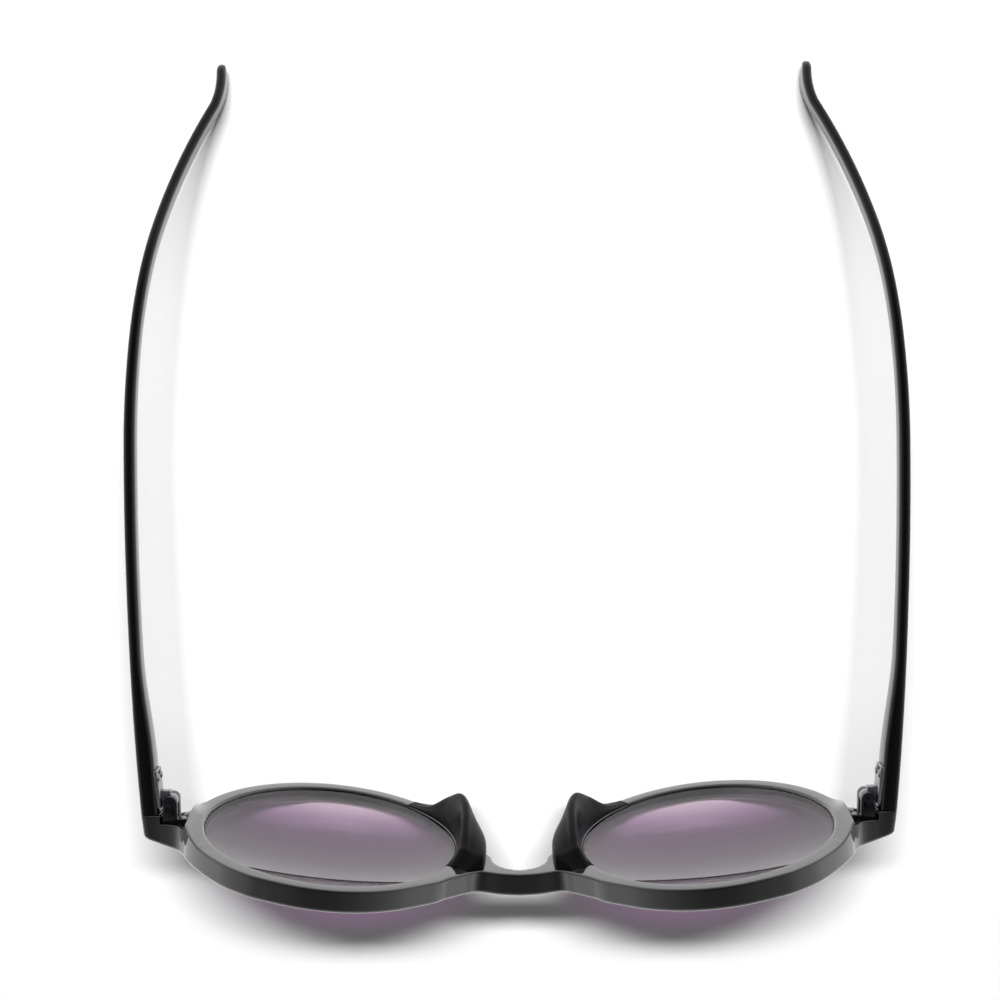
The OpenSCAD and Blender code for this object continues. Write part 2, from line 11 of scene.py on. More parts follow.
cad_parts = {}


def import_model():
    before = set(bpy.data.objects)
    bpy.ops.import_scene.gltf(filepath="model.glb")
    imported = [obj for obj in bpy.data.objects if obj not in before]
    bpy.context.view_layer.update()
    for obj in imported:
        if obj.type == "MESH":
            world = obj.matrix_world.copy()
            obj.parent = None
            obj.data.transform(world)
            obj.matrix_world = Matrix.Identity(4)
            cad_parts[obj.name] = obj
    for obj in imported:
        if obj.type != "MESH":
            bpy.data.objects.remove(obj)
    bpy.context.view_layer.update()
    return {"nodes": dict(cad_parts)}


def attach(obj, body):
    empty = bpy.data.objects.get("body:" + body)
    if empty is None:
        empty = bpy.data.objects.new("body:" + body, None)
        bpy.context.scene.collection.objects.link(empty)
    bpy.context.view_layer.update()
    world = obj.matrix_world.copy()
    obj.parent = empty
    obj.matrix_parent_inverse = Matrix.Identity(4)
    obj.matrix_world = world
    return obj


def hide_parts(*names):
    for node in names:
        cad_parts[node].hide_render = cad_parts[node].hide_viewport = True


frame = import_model()

bl_info = {
    "name": "Round Reading Sunglasses",
    "version": (1, 0, 0),
    "blender": (4, 5, 0),
    "location": "View3D > Sidebar > Sunglasses",
    "description": "Builds the plastic, lenses, hinges and stage of round reading sunglasses",
    "category": "Object",
}

MM = 0.001
SIDES = {"right": -1, "left": 1}
WHITE = (1, 1, 1, 1)
TABLE_HALF = 3.0


def length(name, description, value):
    """A length property from a value in millimetres."""
    return FloatProperty(
        name=name, description=description, default=value * MM, unit="LENGTH", subtype="DISTANCE"
    )


def angle(name, description, value):
    """An angle property from a value in degrees."""
    return FloatProperty(
        name=name, description=description, default=math.radians(value), unit="ROTATION", subtype="ANGLE"
    )


def colour(name, description, value):
    """A colour property from linear red, green and blue."""
    return FloatVectorProperty(
        name=name, description=description, default=value, size=3, min=0, max=1, subtype="COLOR"
    )


class SunglassesSizes(bpy.types.PropertyGroup):
    lens_spacing: length("Lens spacing", "Between the two lens centres", 70.6)
    opening_radius: length("Opening radius", "Radius of the opening in a rim", 23.4)
    rim_width: length("Rim width", "Plastic ring around an opening", 2.8)
    rim_depth: length("Rim depth", "Depth of the rims and the bridge", 4.3)
    edge_round: length("Front rounding", "Rounding of the front edges", 0.8)
    back_round: length("Back rounding", "Rounding of the outer back edges", 0.4)
    inner_round: length("Inner rounding", "Rims' back edges at the lenses", 0.6)
    wrap: angle("Wrap", "How far each rim turns back towards its temple", 7.4)
    tilt: angle("Tilt", "How far the top of the front leans forward", 5.8)
    half_width: length("Half width", "Middle to a temple's outer face at the hinge", 69.3)
    butt_height: length("Temple height at the hinge", "At a temple's front end", 5.8)
    arm_height: length("Temple height", "Along a temple's middle", 4.0)
    tip_height: length("Tip height", "At a temple's tip", 5.2)
    butt_thickness: length("Temple thickness at the hinge", "At a temple's front end", 3.2)
    arm_thickness: length("Temple thickness", "Along a temple's middle", 2.1)
    tip_thickness: length("Tip thickness", "At a temple's tip", 1.8)
    temple_round: length("Temple rounding", "Rounding of the edges of a temple", 0.85)
    pad_height: length("Pad height", "Height of a nose pad", 6.6)
    lens_thickness: length("Lens thickness", "At the middle of a lens", 2.0)
    lens_back_radius: length("Lens back radius", "Radius of the hollow back of a lens", 92.0)
    segment_step: length("Segment step", "How far the reading segment stands out", 0.35)


class SunglassesColours(bpy.types.PropertyGroup):
    plastic: colour("Plastic", "Polished black plastic", (0.0016, 0.0016, 0.0018))
    pad: colour("Nose pads", "Plastic of the nose pads", (0.0022, 0.0022, 0.0026))
    tint: colour("Lens tint", "What a lens lets through at its top", (0.13, 0.085, 0.13))
    tint_middle: colour("Middle tint", "What a lens lets through at its middle", (0.18, 0.125, 0.185))
    tint_foot: colour("Foot tint", "What a lens lets through at its bottom", (0.78, 0.69, 0.75))
    tint_shadow: colour("Shadow tint", "Light that a lens lets fall on the table", (0.09, 0.02, 0.095))
    dark_metal: colour("Dark metal", "Front hinge leaves and screws", (0.07, 0.07, 0.078))
    metal: colour("Light metal", "Temple hinge leaves", (0.42, 0.42, 0.45))
    rivet: colour("Rivet metal", "All rivets", (0.3, 0.3, 0.32))
    wire: colour("Wire metal", "Wires inside the temples", (0.6, 0.6, 0.62))
    floor: colour("Floor", "Table under the glasses", (0.93, 0.93, 0.93))


def ease(t):
    """A smooth step from 0 to 1 while t runs from 0 to 1."""
    t = min(1.0, max(0.0, t))
    return t * t * (3 - 2 * t)


def blend(a, b, t):
    """From a to b, smoothly, while t runs from 0 to 1."""
    return a + (b - a) * ease(t)


def heading(a):
    """The unit vector that points at an angle."""
    return Vector((math.cos(a), math.sin(a)))


def full_turn(count):
    """Unit vectors at even steps around a circle."""
    return [heading(math.tau * i / count) for i in range(count)]


def spline(points, steps):
    """A smooth line through points or plain numbers."""
    out = []
    last = len(points) - 1
    for i in range(last):
        a, b, c, d = points[max(i - 1, 0)], points[i], points[i + 1], points[min(i + 2, last)]
        for j in range(steps):
            t = j / steps
            square, cube = 2 * a - 5 * b + 4 * c - d, 3 * b - a - 3 * c + d
            out.append(0.5 * (2 * b + (c - a) * t + square * t ** 2 + cube * t ** 3))
    return out + [points[last]]


def arc_shift(sine, run, radius):
    """How far an arc moves sideways over a run, from the sine of the angle at which it starts."""
    return radius * (math.sqrt(1 - sine ** 2) - math.sqrt(1 - (sine + run / radius) ** 2))


def halving(low, high, rounds, holds):
    """The last value from low to high at which a test holds."""
    for _ in range(rounds):
        middle = (low + high) / 2
        low, high = (middle, high) if holds(middle) else (low, middle)
    return low


class Layout:
    """The sizes in millimetres, and where points of the front and the temples are in the shared frame."""

    # The bridge, its nose arch and the slope under its back edge
    bridge_top = 10.8
    bridge_height = 5.4
    arch_radius = 6.5
    flank = math.radians(26)
    bow_radius = 70.0
    slope_size = 3.0
    slope_shift = 0.5
    # The endpieces: outward turn, front corner, butt face, hollow ramp, shoulder and hinge pocket
    turn_length = 8.0
    corner_y = 3.3
    butt_y = 7.3
    butt_gap = 0.1
    turn_radius = 25.0
    lean_before = 1.5
    ramp_before = 4.8
    ramp_radius = 5.8
    ramp_share = 0.96
    shoulder_below = 9.0
    shoulder_run = 10.0
    parting = math.radians(5.1)
    pocket = (60.88, 65.74)
    pocket_y = 5.7
    # The lenses and their reading segments
    ridge_height = 0.7
    lens_gap = 0.1
    segment_top = -8.0
    segment_centre = Vector((-3.0, -12.0))
    segment_radius = 12.5
    segment_gap = 0.9
    # The temples: arcs seen from above, as end and radius, and the ear bend
    temple_reach = 135.8
    plan_arcs = ((67.7, 668.0), (97.3, 183.0), (129.5, 110.0), (136.0, -13.0))
    drop = math.radians(4)
    ear = math.radians(28)
    bend_start = 87.3
    bend_radius = 50.0

    def __init__(self, sizes):
        for name in SunglassesSizes.__annotations__:
            value = getattr(sizes, name)
            setattr(self, name, value if name in ("wrap", "tilt") else value / MM)
        self.half = self.rim_depth / 2
        self.rim_radius = self.opening_radius + self.rim_width
        self.lens_x = self.lens_spacing / 2
        self.lens_z = self.rim_radius * math.cos(self.tilt)
        self.lens_z += (self.half - self.edge_round) * math.sin(self.tilt)
        self.lens_edge = self.opening_radius - self.lens_gap
        self.lens_back = self.half - self.inner_round + self.lens_gap / 2
        self.ridge_depth = self.lens_back - self.lens_thickness / 2
        self.lens_middle = self.lens_back + math.sqrt(self.lens_back_radius ** 2 - self.lens_edge ** 2)
        self.turn_start = self.half_width - self.turn_length
        self.ramp_start = self.turn_start - self.ramp_before
        self.bow_half = self.bow_radius * math.sin(self.wrap)
        self.bow_length = self.bow_radius * self.wrap
        self.bow_front = (self.bow_half - self.lens_x) * math.tan(self.wrap)
        self.bow_front -= self.bow_radius * (1 - math.cos(self.wrap))
        self.lens_s = self.bow_length + (self.lens_x - self.bow_half) / math.cos(self.wrap)
        self.turn_s = self.across(self.turn_start - self.half * math.sin(self.wrap))
        corner_in = (self.butt_y - self.corner_y) * math.tan(self.parting)
        self.end_s = self.across_turn(self.half_width - corner_in)
        front_end = (self.bow_front - self.half) * math.cos(self.tilt)
        front_end -= self.bridge_top * math.sin(self.tilt)
        rear_end = self.butt_y + self.butt_gap + self.temple_reach + self.tip_height / 2
        self.centre_y = (front_end + rear_end) / 2
        self.hinge_z = self.tip_height / 2 + self.side_drop(self.temple_reach)
        self.end_z = (self.hinge_z - self.lens_z) * math.cos(self.tilt)
        self.end_z -= self.butt_y * math.sin(self.tilt)
        self.slope_v = self.bridge_top - self.bridge_height - self.slope_size + self.slope_shift
        self.slope_radius = 2 * self.slope_size - self.slope_shift
        self.pocket_s = [self.find_column(x) for x in self.pocket]

    # The front is laid out flat: s runs across along the bowed middle surface, v runs up, and depth runs
    # back from the front face.
    def across(self, x):
        """The flat layout's s of a place on the middle surface between the middle and the turn."""
        if x < self.bow_half:
            return self.bow_radius * math.asin(x / self.bow_radius)
        return self.bow_length + (x - self.bow_half) / math.cos(self.wrap)

    def across_turn(self, x):
        """The flat layout's s of a place on the turned front face of an endpiece."""
        sine = math.sin(self.wrap) + (x - self.turn_start) / self.turn_radius
        return self.turn_s + self.turn_radius * (math.asin(sine) - self.wrap)

    def end_lean(self, s):
        """The lean of the walls at s: square to the rim at first, and along the temple at the end."""
        run = self.end_s - self.turn_s + 1
        return blend(-self.wrap, self.parting, (s - self.turn_s + self.lean_before) / run)

    def column(self, s):
        """The front face's point at s and the direction of the walls there, both as x and y."""
        if s < self.bow_length:
            turn = s / self.bow_radius
            x = self.bow_radius * math.sin(turn)
            y = self.bow_front + self.bow_radius * (1 - math.cos(turn))
        elif s < self.turn_s:
            turn = self.wrap
            x = self.bow_half + (s - self.bow_length) * math.cos(turn)
            y = (x - self.lens_x) * math.tan(turn)
        else:
            turn = self.wrap + (s - self.turn_s) / self.turn_radius
            x = self.turn_start + self.turn_radius * (math.sin(turn) - math.sin(self.wrap))
            y = (self.turn_start - self.lens_x) * math.tan(self.wrap) - self.half / math.cos(self.wrap)
            y += self.turn_radius * (math.cos(self.wrap) - math.cos(turn))
            lean = self.end_lean(s)
            return x, y, math.sin(lean), math.cos(lean)
        lean = self.end_lean(s) if s > max(self.turn_s - self.lean_before, self.bow_length) else -turn
        front_x = x + self.half * math.sin(turn)
        front_y = y - self.half * math.cos(turn)
        return front_x, front_y, math.sin(lean), math.cos(lean)

    def find_column(self, x):
        """The s at which the floor of the hinge pocket lies at x."""
        def before(s):
            start_x, y, lean_x, lean_y = self.column(s)
            return start_x + (self.pocket_y - y) / lean_y * lean_x < x

        return halving(self.turn_s - 3, self.end_s, 30, before)

    def back_face(self, s, x, v):
        """The y of an endpiece's back face: its hollow ramp, the hinge pocket and the butt face."""
        lift = v * math.sin(self.tilt)
        if s > self.pocket_s[0]:
            return ((self.pocket_y if s < self.pocket_s[1] else self.butt_y) + lift) / math.cos(self.tilt)
        run = min(self.ramp_share * self.ramp_radius, max(0.0, x - self.ramp_start))
        flat = (x - self.lens_x) * math.tan(self.wrap) + self.half / math.cos(self.wrap)
        over_shoulder = v - self.end_z + self.butt_height / 2 + self.shoulder_below
        ramp = flat + arc_shift(0, run, self.ramp_radius) * ease(over_shoulder / self.shoulder_run)
        return min(ramp, (self.butt_y + lift) / math.cos(self.tilt))

    def back_depth(self, s, v):
        """Depth of the back face below the front face."""
        if s < self.across(self.ramp_start):
            return self.rim_depth - max(0.0, self.slope_radius - math.hypot(s, v - self.slope_v))
        x, y, lean_x, lean_y = self.column(s)
        depth = self.rim_depth
        # The walls lean, so the depth changes x, and x changes the depth. Four rounds settle both.
        for _ in range(4):
            depth = (self.back_face(s, x + depth * lean_x, v) - y) / lean_y
        return depth

    def front_point(self, s, v, depth):
        """A point of the flat layout in the shared frame."""
        x, y, lean_x, lean_y = self.column(s)
        return self.in_front(x + depth * lean_x, y + depth * lean_y, v)

    def in_front(self, x, y, z):
        """A point of the upright front in the shared frame, where the front leans forward."""
        c, t = math.cos(self.tilt), math.sin(self.tilt)
        return Vector((x, y * c - z * t - self.centre_y, self.lens_z + y * t + z * c))

    def at_lens(self, across, back, up):
        """A point in the left lens's own directions, from its centre in the middle of the rim's depth."""
        c, t = math.cos(self.wrap), math.sin(self.wrap)
        return self.in_front(self.lens_x + across * c - back * t, across * t + back * c, up)

    def beside_rim(self, degrees, out):
        """A place in the flat layout at an angle around a lens, the given distance outside its rim."""
        a = math.radians(degrees)
        reach = self.rim_radius + out
        return Vector((self.lens_s + reach * math.cos(a), reach * math.sin(a)))

    # The temples are described by the distance y from their front end.
    def plan(self, y):
        """The outer face's x and the sine of its turn."""
        x, sine, start = self.half_width, -math.sin(self.parting), 0.0
        for end, radius in self.plan_arcs:
            run = max(0.0, min(y, end) - start)
            x -= arc_shift(sine, run, radius)
            sine += run / radius
            start = end
        return x - max(0.0, y - start) * math.tan(math.asin(sine)), sine

    def bend_run(self, y):
        """How much of the ear bend lies before y."""
        full = self.bend_radius * (math.sin(self.ear) - math.sin(self.drop))
        return max(0.0, min(y - self.bend_start, full))

    def side_sine(self, y):
        """The sine of the downward angle."""
        return math.sin(self.drop) + self.bend_run(y) / self.bend_radius

    def side_drop(self, y):
        """How far the temple's middle line lies below its front end."""
        run = self.bend_run(y)
        down = min(y, self.bend_start) * math.tan(self.drop)
        down += arc_shift(math.sin(self.drop), run, self.bend_radius)
        return down + max(0.0, y - self.bend_start - run) * math.tan(math.asin(self.side_sine(y)))

    def size(self, kind, y, changes):
        """Height or thickness, which changes twice, each time from a start and over a run."""
        butt, arm, tip = [getattr(self, f"{place}_{kind}") for place in ("butt", "arm", "tip")]
        (start, run), (tip_start, tip_run) = changes
        return blend(blend(butt, arm, (y - start) / run), tip, (y - tip_start) / tip_run)

    def thickness(self, y):
        return self.size("thickness", y, ((9, 20), (60, 60)))

    def height(self, y):
        return self.size("height", y, ((0, 45), (80, 45)))


class Shell:
    """Points and faces of one mesh, in millimetres."""

    def __init__(self):
        self.points = []
        self.faces = []

    def row(self, points):
        """Adds points and gives their numbers."""
        first = len(self.points)
        self.points += points
        return list(range(first, len(self.points)))

    def strip(self, a, b, closed=True):
        """Faces between two rows of the same number of points."""
        count = len(a)
        for i in range(count if closed else count - 1):
            j = (i + 1) % count
            self.faces.append((a[i], a[j], b[j], b[i]))

    def strips(self, rows, closed=True):
        """Faces between rows that follow one another."""
        for a, b in zip(rows, rows[1:]):
            self.strip(a, b, closed)

    def skin(self, rows):
        """Faces between rows that follow one another, and a lid on the first and the last of them."""
        self.strips(rows)
        self.faces += [tuple(rows[0]), tuple(reversed(rows[-1]))]

    def drop_unused(self):
        """Leaves out the points that no face uses."""
        used = sorted({i for face in self.faces for i in face})
        renumber = {old: new for new, old in enumerate(used)}
        self.points = [self.points[i] for i in used]
        self.faces = [tuple(renumber[i] for i in face) for face in self.faces]

    def make(self, name, side=1, both=False, sharp=35):
        """An object on the left (side 1), on the right (side -1), or on both sides as one piece."""
        same_place, no_length = 0.004, 0.001
        mesh = bpy.data.meshes.new(name)
        bm = bmesh.new()
        for s in (1, -1) if both else (side,):
            verts = [bm.verts.new((p.x * s * MM, p.y * MM, p.z * MM)) for p in self.points]
            for face in self.faces:
                bm.faces.new([verts[i] for i in face[::s]])
        bmesh.ops.remove_doubles(bm, verts=bm.verts, dist=same_place * MM)
        bmesh.ops.dissolve_degenerate(bm, edges=bm.edges, dist=no_length * MM)
        bmesh.ops.recalc_face_normals(bm, faces=bm.faces)
        for face in bm.faces:
            face.smooth = True
        for edge in bm.edges:
            edge.smooth = edge.calc_face_angle(0) < math.radians(sharp)
        bm.to_mesh(mesh)
        bm.free()
        obj = bpy.data.objects.new(name, mesh)
        bpy.context.scene.collection.objects.link(obj)
        return obj


class Signal:
    """A node socket that carries a number, with arithmetic that adds Math nodes."""

    def __init__(self, finish, socket):
        self.finish = finish
        self.socket = socket

    def math(self, operation, a, b, clamp=False):
        settings = {"operation": operation, "use_clamp": clamp}
        return self.finish.signal(self.finish.node("ShaderNodeMath", {0: a, 1: b}, settings).outputs[0])

    def __add__(self, other):
        return self.math("ADD", self, other)

    __radd__ = __add__

    def __sub__(self, other):
        return self.math("SUBTRACT", self, other)

    def __mul__(self, other):
        return self.math("MULTIPLY", self, other)

    def __truediv__(self, other):
        return self.math("DIVIDE", self, other)

    def clamped(self):
        """The number, held between 0 and 1."""
        return self.math("ADD", self, 0.0, clamp=True)


class Finish:
    """The nodes of one material or world under construction."""

    def __init__(self, holder):
        holder.use_nodes = True
        self.holder = holder
        self.tree = holder.node_tree
        self.tree.nodes.clear()

    def node(self, kind, inputs=None, settings=None):
        """Adds a node: its settings first, then the values or links of its sockets."""
        made = self.tree.nodes.new(kind)
        for key, value in (settings or {}).items():
            setattr(made, key, value)
        for key, value in (inputs or {}).items():
            socket = made.inputs[key]
            if isinstance(value, Signal):
                value = value.socket
            if isinstance(value, bpy.types.NodeSocket):
                self.tree.links.new(value, socket)
            else:
                socket.default_value = value
        return made

    def signal(self, socket):
        return Signal(self, socket)

    def place(self):
        """Coordinates on the object, in metres."""
        return self.node("ShaderNodeTexCoord").outputs["Object"]

    def height_of(self, vector):
        """The Z of a vector."""
        return self.signal(self.node("ShaderNodeSeparateXYZ", {0: vector}).outputs["Z"])

    def noise(self, scale, detail=2.0, roughness=0.5, vector=None):
        """Grey noise between about 0.3 and 0.7, with scale in waves per metre."""
        made = self.node(
            "ShaderNodeTexNoise",
            {"Vector": vector or self.place(), "Scale": scale, "Detail": detail, "Roughness": roughness},
        )
        return self.signal(made.outputs["Fac"])

    def rays(self, *kinds):
        """For each kind of ray, a signal that is 1 for such rays and else 0."""
        path = self.node("ShaderNodeLightPath")
        return [self.signal(path.outputs[f"Is {kind} Ray"]) for kind in kinds]

    def mix(self, factor, a, b):
        """A colour between two colours."""
        made = self.node("ShaderNodeMix", {0: factor, 6: (*a, 1), 7: (*b, 1)}, {"data_type": "RGBA"})
        return made.outputs[2]

    def mix_shaders(self, factor, a, b):
        """A shader node between two shader nodes."""
        return self.node("ShaderNodeMixShader", {0: factor, 1: a.outputs[0], 2: b.outputs[0]})

    def ramp(self, factor, stops):
        """A colour that changes with a number, from stops of position and colour."""
        made = self.node("ShaderNodeValToRGB", {"Fac": factor})
        elements = made.color_ramp.elements
        while len(elements) < len(stops):
            elements.new(0.5)
        for element, (position, shade) in zip(elements, stops):
            element.position = position
            element.color = (*shade, 1)
        return made.outputs["Color"]

    def bump(self, height, strength, distance):
        """A normal from a height between 0 and 1, with distance in metres."""
        made = self.node("ShaderNodeBump", {"Height": height, "Strength": strength, "Distance": distance})
        return made.outputs["Normal"]

    def output(self, shader, kind="ShaderNodeOutputMaterial"):
        """Ends with a shader node, and gives the finished material or world."""
        self.node(kind, {"Surface": shader.outputs[0]})
        return self.holder


def black_plastic(name, shade, roughness, wave, coat=0.0, density=1.5):
    """Black plastic with a faint long wave, fine marks and, where coat isn't 0, a polished skin."""
    finish = Finish(bpy.data.materials.new(name))
    long_wave, grain = 180, 2600
    marked_shade = tuple(1.8 * c for c in shade)
    coarse = finish.noise(long_wave, 2)
    fine = finish.noise(grain, 3, 0.6)
    marks = ((fine - 0.5) * 3).clamped()
    height = coarse * 0.7 + fine * 0.3
    shader = finish.node(
        "ShaderNodeBsdfPrincipled",
        {
            "Base Color": finish.mix(marks, shade, marked_shade),
            "Roughness": roughness + marks * 0.06 + coarse * 0.03,
            "IOR": density,
            "Coat Weight": coat,
            "Coat Roughness": 0.03,
            "Coat IOR": 1.55,
            "Normal": finish.bump(height, wave, 0.04 * MM),
        },
    )
    return finish.output(shader)


def lens_tint(name, g, colours):
    """Clear plastic with a tint that fades out towards the bottom of the lens."""
    finish = Finish(bpy.data.materials.new(name))
    reach = g.lens_edge * MM
    # 0 at the bottom of the lens and 1 at its top
    up = (finish.height_of(finish.place()) - (g.lens_z * MM - reach)) / (2 * reach)
    foot, middle, top = colours.tint_foot, colours.tint_middle, colours.tint
    lower = tuple(2 * c for c in middle)
    shade = finish.ramp(up, [(0.0, foot), (0.2, lower), (0.36, middle), (0.5, middle), (0.8, top)])
    glass = finish.node(
        "ShaderNodeBsdfPrincipled",
        {"Base Color": shade, "Roughness": 0.0, "IOR": 1.5, "Transmission Weight": 1.0},
    )
    # Light that falls through the lens crosses two faces, so each lets the root of the colour pass.
    clear, dark = [
        finish.node("ShaderNodeBsdfTransparent", {"Color": (*[math.sqrt(c) for c in tint], 1)})
        for tint in (foot, colours.tint_shadow)
    ]
    dark_from, dark_run = 0.12, 0.4
    shadow = finish.mix_shaders(((up - dark_from) / dark_run).clamped(), clear, dark)
    return finish.output(finish.mix_shaders(*finish.rays("Shadow"), glass, shadow))


def hinge_metal(name, shade, roughness, grain):
    """Plain rolled metal with fine grain and dull spots."""
    finish = Finish(bpy.data.materials.new(name))
    stretched = finish.node("ShaderNodeMapping", {"Vector": finish.place(), "Scale": (1, 1, 9)})
    lines = finish.noise(grain, 3, 0.6, stretched.outputs[0])
    spots = finish.noise(1500, 2)
    dull = ((spots - 0.45) * 4).clamped()
    shader = finish.node(
        "ShaderNodeBsdfPrincipled",
        {
            "Base Color": finish.mix(dull, shade, tuple(0.7 * c for c in shade)),
            "Metallic": 1.0,
            "Roughness": roughness + lines * 0.16 + dull * 0.08,
            "Normal": finish.bump(lines, 0.25, 0.02 * MM),
        },
    )
    return finish.output(shader)


def layout_and_colours():
    scene = bpy.context.scene
    return Layout(scene.sunglasses_sizes), scene.sunglasses_colours


def seat(obj, body, slot, material, *nodes):
    """Puts a new piece on its body, with its finish, in place of its CAD nodes."""
    obj.data.materials.append(material)
    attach(obj, body)
    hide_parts(*nodes)


def front_outline(g):
    """The left half of the front's edge in the flat layout, from the bridge's top to the nose arch."""
    top = g.end_z + g.butt_height / 2
    bottom = g.end_z - g.butt_height / 2
    smoothness = 8

    # Places are given from the middle, from an endpiece's outer face, or by degrees around the lens and
    # the distance outside the rim.
    def mid(x, v):
        return Vector((g.across(x), v))

    def end(inside_end, v):
        return Vector((g.across_turn(g.half_width - inside_end), v))

    def by_rim(*places):
        return [g.beside_rim(degrees, out) for degrees, out in places]

    bridge_line = (0, 0), (3.6, -0.3), (7.2, -0.85), (9.1, 0.35), (10.9, 2)
    bridge = spline(
        [mid(x, g.bridge_top + up) for x, up in bridge_line]
        + by_rim((146.5, 0.75), (141, 0.6), (134, 0.15), (128, 0)),
        smoothness,
    )
    over = [g.beside_rim(a, 0) for a in range(126, 77, -2)]
    shoulder = spline(
        by_rim((76, 0), (69, 0.15), (61, 0.45), (50, 0.6), (40, 0.6), (31, 0.85), (24, 1.15), (19, 1.3))
        + [end(6.4, top + 1.25), end(3.7, top + 0.3), end(1.3, top + 0.05)],
        smoothness,
    )
    corner = 0.85
    s_end = g.end_s
    quarter = [math.radians(15 * i) for i in range(7)]
    round_top = [
        Vector((s_end - corner + corner * math.sin(a), top - corner + corner * math.cos(a)))
        for a in quarter
    ]
    face = [Vector((s_end, top - corner - (top - bottom - 2 * corner) * i / 6)) for i in range(1, 6)]
    round_bottom = [
        Vector((s_end - corner + corner * math.cos(a), bottom + corner - corner * math.sin(a)))
        for a in quarter
    ]
    under = spline(
        [end(1.3, bottom), end(3.9, bottom - 0.5), end(6.1, bottom - 2.2)]
        + by_rim((-12, 0.6), (-18, 0.15), (-24, 0)),
        smoothness,
    )
    flank_z = -g.rim_radius / 2
    arch_v = g.bridge_top - g.bridge_height - g.arch_radius
    arch_end = Vector((0, arch_v)) + g.arch_radius * heading(g.flank)
    flank = mid(arch_end.x + (arch_end.y - flank_z) * math.tan(g.flank), flank_z)
    below = [g.beside_rim(-a, 0) for a in range(26, 140, 2)]
    rise = [mid(arch_end.x, arch_end.y).lerp(flank, t) for t in (0.8, 0.55, 0.3, 0.0)]
    join = spline([g.beside_rim(-140, 0), flank.lerp(g.beside_rim(-146, 0), 0.5)] + rise, 5)
    steps = 12
    turns = [g.flank + (math.pi / 2 - g.flank) * i / steps for i in range(1, steps + 1)]
    arch = [mid(g.arch_radius * math.cos(a), arch_v + g.arch_radius * math.sin(a)) for a in turns]
    return bridge + over + shoulder + round_top + face + round_bottom + under + below + join + arch


def resample(points, step):
    """The same line with points at most step apart."""
    same_place = 0.02
    out = [points[0]]
    for a, b in zip(points, points[1:]):
        gap = (b - a).length
        if gap < same_place:
            continue
        count = max(1, math.ceil(gap / step))
        out += [a.lerp(b, i / count) for i in range(1, count + 1)]
    return out


def inward(points, lines=()):
    """Vectors that point into the material, right of the line, and carry no point over the given s."""
    held, run = 0.1, 1.2
    out = [Vector((0, -1))]
    for a, p, b in zip(points, points[1:], points[2:]):
        along = (b - a).normalized()
        free = min([ease((abs(p.x - s) - held) / run) for s in lines], default=1.0)
        out.append(Vector((along.y * free, -along.x)))
    return out + [Vector((0, 1))]


def inside(point, polygon):
    """Whether a point lies inside a polygon, by the edges that a line to its right crosses."""
    odd = False
    for a, b in zip(polygon, polygon[1:] + polygon[:1]):
        if (a.y > point.y) != (b.y > point.y):
            crossing = (b.x - a.x) * (point.y - a.y) / (b.y - a.y) + a.x
            odd ^= point.x < crossing
    return odd


def crossed(points, lines):
    """The same line with extra points where it crosses the given s values."""
    near = 0.002
    out = [points[0]]
    for a, b in zip(points, points[1:]):
        low, high = sorted((a.x, b.x))
        cuts = [(s - a.x) / (b.x - a.x) for s in lines if low + near < s < high - near]
        out += [a.lerp(b, t) for t in sorted(cuts)] + [b]
    return out


def edge_rings(g, points, directions, front_round, back_round):
    """Rings of places with depths, from the wall to the flat faces, by directions for front and back."""
    steps = 6
    rings = []
    for k in range(steps + 1):
        turn = math.pi / 2 * k / steps
        inset, lift = 1 - math.cos(turn), 1 - math.sin(turn)
        fronts = [p + d * front_round * inset for p, d in zip(points, directions[0])]
        backs = [p + d * back_round * inset for p, d in zip(points, directions[1])]
        rings.append((
            [(q, front_round * lift) for q in fronts],
            [(q, g.back_depth(q.x, q.y) - back_round * lift) for q in backs],
        ))
    return rings


def both_sides(lines):
    """The given s values as pairs, so that the pocket's walls stand between two rows of points."""
    return [s + shift for s in lines for shift in (-0.01, 0.01)]


